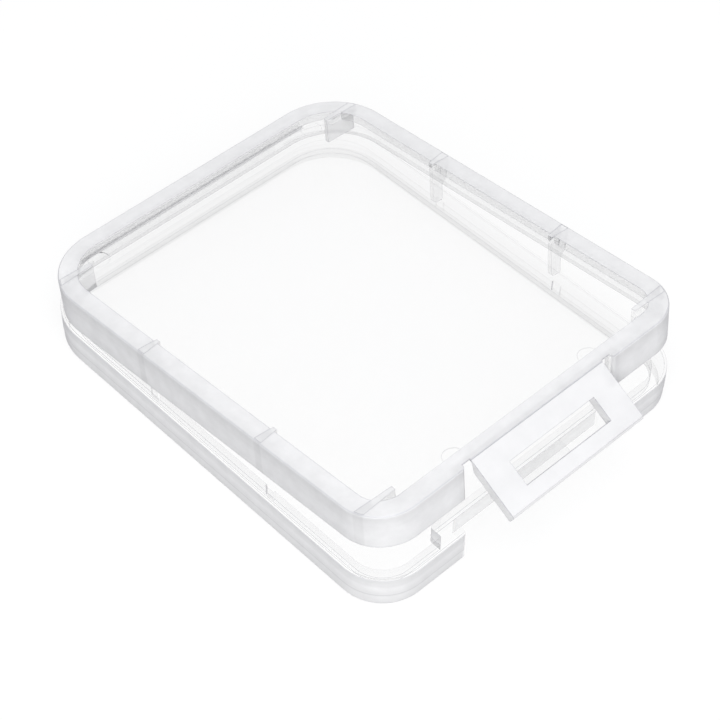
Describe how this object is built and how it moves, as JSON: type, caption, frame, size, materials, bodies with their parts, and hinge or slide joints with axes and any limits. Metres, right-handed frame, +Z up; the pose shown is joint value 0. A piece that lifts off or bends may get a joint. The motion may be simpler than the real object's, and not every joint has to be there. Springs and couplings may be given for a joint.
{
  "type": "memory card case",
  "caption": "Slim clear clamshell case for one memory card, with a hinged lid, inner locating fingers and a slotted flap latch.",
  "frame": {"origin": "under the middle of the whole case as drawn ajar, in the plane of the foot's underside", "axes": "+X along the hinge, +Y towards the hinge, +Z up; the latch flap faces -Y"},
  "size_m": [0.0452, 0.0606, 0.0131],
  "materials": {
    "frosted": "fine matt translucent polypropylene",
    "clear": "polished clear polypropylene"
  },
  "bodies": {
    "base": {"base_frame": "frosted", "base_floor": "clear", "catch_lug": "frosted", "base_hinge_leaf": "frosted"},
    "lid": {"lid_frame": "frosted", "lid_panel": "clear", "lid_hinge_leaf": "frosted", "finger_left_rear": "frosted", "finger_left_front": "frosted", "finger_right_rear": "frosted", "finger_right_front": "frosted", "hinge_rib_left": "frosted", "hinge_rib_right": "frosted", "latch_rib_left": "frosted", "latch_rib_right": "frosted"},
    "flap": {"latch_flap": "frosted"}
  },
  "joints": [
    {"name": "lid_hinge", "type": "hinge", "parent": "base", "child": "lid", "pos_m": [0, 0.03016, 0.00403], "axis": [-1, 0, 0], "range_deg": [-5.23, 172]},
    {"name": "flap_hinge", "type": "hinge", "parent": "lid", "child": "flap", "pos_m": [0, -0.02416, 0.01292], "axis": [1, 0, 0], "range_deg": [-95.2, 54.8]}
  ]
}
